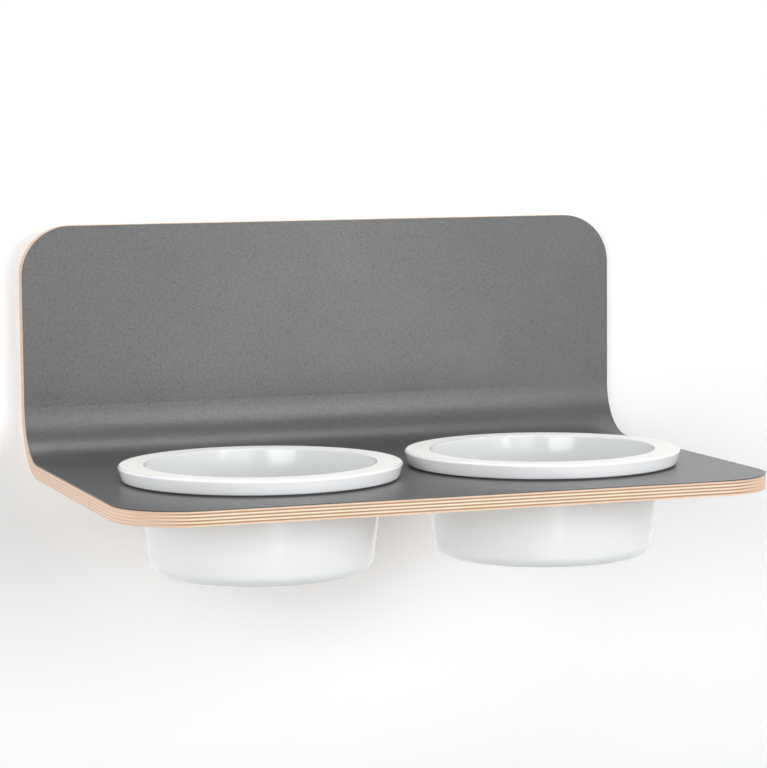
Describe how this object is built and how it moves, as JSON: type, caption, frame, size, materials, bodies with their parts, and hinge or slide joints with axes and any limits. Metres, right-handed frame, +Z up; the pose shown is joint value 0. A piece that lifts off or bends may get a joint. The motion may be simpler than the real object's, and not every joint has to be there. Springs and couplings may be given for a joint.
{
  "type": "wall-hung pet bowl shelf",
  "caption": "Wall-hung pet feeding shelf of bent plywood with a grey laminate face, holding round porcelain bowls that hang by their rims and lift out.",
  "frame": {"origin": "on the wall plane, midway between the entry holes of the two keyhole hangers", "axes": "+X along the wall towards the right-hand bowl as seen by someone who faces the wall, +Y into the wall, +Z up"},
  "size_m": [0.47, 0.3227, 0.2365],
  "materials": {
    "grey_laminate": "matt high-pressure laminate with a fine embossed grain",
    "veneer_long": "birch veneer, grain along the panel's width, clear matt lacquer",
    "veneer_cross": "birch veneer, grain square to its neighbours, clear matt lacquer",
    "porcelain": "glossy white glaze",
    "silicone": "matt dark grey silicone",
    "zinc_plated_steel": "bright zinc plate",
    "screw_steel": "bright zinc plate"
  },
  "bodies": {
    "shelf": {"front_laminate": "grey_laminate", "veneer_1_long": "veneer_long", "veneer_2_cross": "veneer_cross", "veneer_3_long": "veneer_long", "veneer_4_cross": "veneer_cross", "veneer_5_long": "veneer_long", "veneer_6_cross": "veneer_cross", "veneer_7_long": "veneer_long", "veneer_8_cross": "veneer_cross", "veneer_9_long": "veneer_long", "seat_ring_left": "silicone", "seat_ring_right": "silicone", "hanger_plate_left": "zinc_plated_steel", "hanger_plate_right": "zinc_plated_steel", "hanger_screws": "screw_steel"},
    "bowl_left": {"bowl_left": "porcelain"},
    "bowl_right": {"bowl_right": "porcelain"}
  },
  "joints": [
    {"name": "bowl_left_lift", "type": "slide", "parent": "shelf", "child": "bowl_left", "axis": [0, 0, 1], "range_m": [0, 0.085]},
    {"name": "bowl_right_lift", "type": "slide", "parent": "shelf", "child": "bowl_right", "axis": [0, 0, 1], "range_m": [0, 0.085]}
  ]
}
